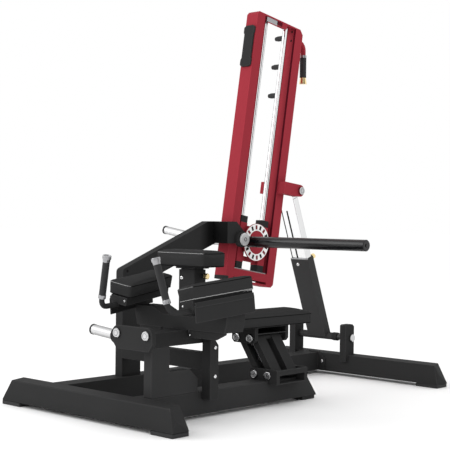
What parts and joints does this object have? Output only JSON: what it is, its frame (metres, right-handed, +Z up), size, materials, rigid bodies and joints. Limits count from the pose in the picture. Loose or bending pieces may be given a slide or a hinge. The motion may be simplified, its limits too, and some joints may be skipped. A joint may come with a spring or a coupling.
{
  "type": "plate-loaded glute machine",
  "caption": "Kneeling glute press: padded knee, chest and elbow rests on a steel base, with a foot bar on a carriage that slides up rods in a tall tilting red frame.",
  "frame": {"origin": "on the floor, under the middle of the bounding box", "axes": "+Z up, +Y from the front rail with the handles to the rear rail with the strut, +X to the side of the pads"},
  "size_m": [1.4544, 2.48, 2.4353],
  "materials": {
    "frame_black": "fine textured satin black powder coat",
    "frame_red": "satin red powder coat",
    "chrome": "polished",
    "satin_metal": "satin",
    "brass": "polished",
    "bar_gloss": "gloss black",
    "upholstery": "grained black vinyl over foam",
    "rubber": "matte black",
    "dial_white": "matte white"
  },
  "bodies": {
    "base": {"chest_sleeve": "frame_black", "cross_beam": "frame_black", "elbow_bracket_left": "frame_black", "elbow_bracket_right": "frame_black", "elbow_pad_left": "upholstery", "elbow_pad_right": "upholstery", "foot_front_left": "rubber", "foot_front_right": "rubber", "foot_rear_left": "rubber", "foot_rear_right": "rubber", "handle_grip_left": "rubber", "handle_grip_right": "rubber", "knee_shoe": "frame_black", "pad_yoke": "frame_black", "plate_cap_left": "chrome", "plate_cap_right": "chrome", "rail_front": "frame_black", "rail_left": "frame_black", "rail_middle": "frame_black", "rail_rear": "frame_black", "seat_beam": "frame_black", "stand_post_front": "frame_black", "stand_post_rear": "frame_black", "storage_horn_lower": "chrome", "storage_horn_upper": "chrome", "strut_shaft": "chrome", "tilt_arm": "frame_black", "tilt_axle": "chrome"},
    "tilt_frame": {"slide_frame": "frame_red", "buffer_strip": "rubber", "guide_rod_front": "chrome", "guide_rod_rear": "chrome", "front_plaque": "frame_black", "band_peg_1": "rubber", "band_peg_2": "rubber", "band_peg_3": "rubber", "top_grip_ring": "satin_metal", "top_grip_sleeve": "rubber", "top_grip_cap": "brass", "strut_top_pin": "chrome"},
    "carriage": {"carriage": "frame_red", "bearing_cap_front_lower": "frame_black", "bearing_cap_front_upper": "frame_black", "bearing_cap_rear_lower": "frame_black", "bearing_cap_rear_upper": "frame_black", "dial_ring": "dial_white", "load_horn": "chrome", "foot_bar_spindle": "satin_metal"},
    "foot_bar": {"foot_bar": "bar_gloss"},
    "strut": {"strut_sleeve": "frame_black"},
    "strut_ram": {"strut_ram": "chrome"},
    "strut_pin": {"strut_pin": "brass"},
    "chest": {"chest_post": "frame_black", "chest_pad": "upholstery"},
    "chest_pin": {"chest_pin": "brass"},
    "knee_links_far": {"knee_links_far": "frame_black", "link_damper": "satin_metal"},
    "knee_links_near": {"knee_links_near": "frame_black"},
    "knee_deck": {"knee_deck_frame": "frame_black", "knee_pad": "upholstery"}
  },
  "joints": [
    {"name": "frame_tilt", "type": "hinge", "parent": "base", "child": "tilt_frame", "pos_m": [-0.29265, 0.1918, 0.949], "axis": [1, 0, 0], "range_deg": [-6, 5]},
    {"name": "carriage_travel", "type": "slide", "parent": "tilt_frame", "child": "carriage", "axis": [0, 0.1633, 0.9866], "range_m": [0, 1.3]},
    {"name": "foot_bar_roll", "type": "hinge", "parent": "carriage", "child": "foot_bar", "pos_m": [0.10735, 0.30945, 0.93104], "axis": [1, 0, 0], "continuous": true},
    {"name": "strut_swing", "type": "hinge", "parent": "base", "child": "strut", "pos_m": [-0.29265, 1.16, 0.264], "axis": [1, 0, 0], "range_deg": [-0.6, 0.5]},
    {"name": "strut_reach", "type": "slide", "parent": "strut", "child": "strut_ram", "axis": [0, -0.3535, 0.9354], "range_m": [-0.0715, 0.0605]},
    {"name": "strut_pin_pull", "type": "slide", "parent": "strut", "child": "strut_pin", "axis": [0, 0.9354, 0.3535], "range_m": [0, 0.012], "stiffness_N_per_m": 600},
    {"name": "chest_height", "type": "slide", "parent": "base", "child": "chest", "axis": [0, 0, 1], "range_m": [0, 0.15]},
    {"name": "chest_pin_pull", "type": "slide", "parent": "base", "child": "chest_pin", "axis": [1, 0, 0], "range_m": [0, 0.012], "stiffness_N_per_m": 600},
    {"name": "knee_swing", "type": "hinge", "parent": "base", "child": "knee_links_far", "pos_m": [0.28435, -0.055, 0.178], "axis": [0, 1, 0], "range_deg": [0, 66]},
    {"name": "knee_swing_near", "type": "hinge", "parent": "base", "child": "knee_links_near", "pos_m": [0.38735, -0.055, 0.178], "axis": [0, 1, 0], "range_deg": [0, 66]},
    {"name": "knee_level", "type": "hinge", "parent": "knee_links_far", "child": "knee_deck", "pos_m": [0.14317, -0.055, 0.38189], "axis": [0, 1, 0], "range_deg": [-66, 0]}
  ],
  "couplings": [
    {"joint": "strut_swing", "follows": "frame_tilt", "ratio": 0.08},
    {"joint": "strut_reach", "follows": "frame_tilt", "m_per_rad": 0.663},
    {"joint": "knee_swing_near", "follows": "knee_swing", "ratio": 1},
    {"joint": "knee_level", "follows": "knee_swing", "ratio": -1}
  ]
}
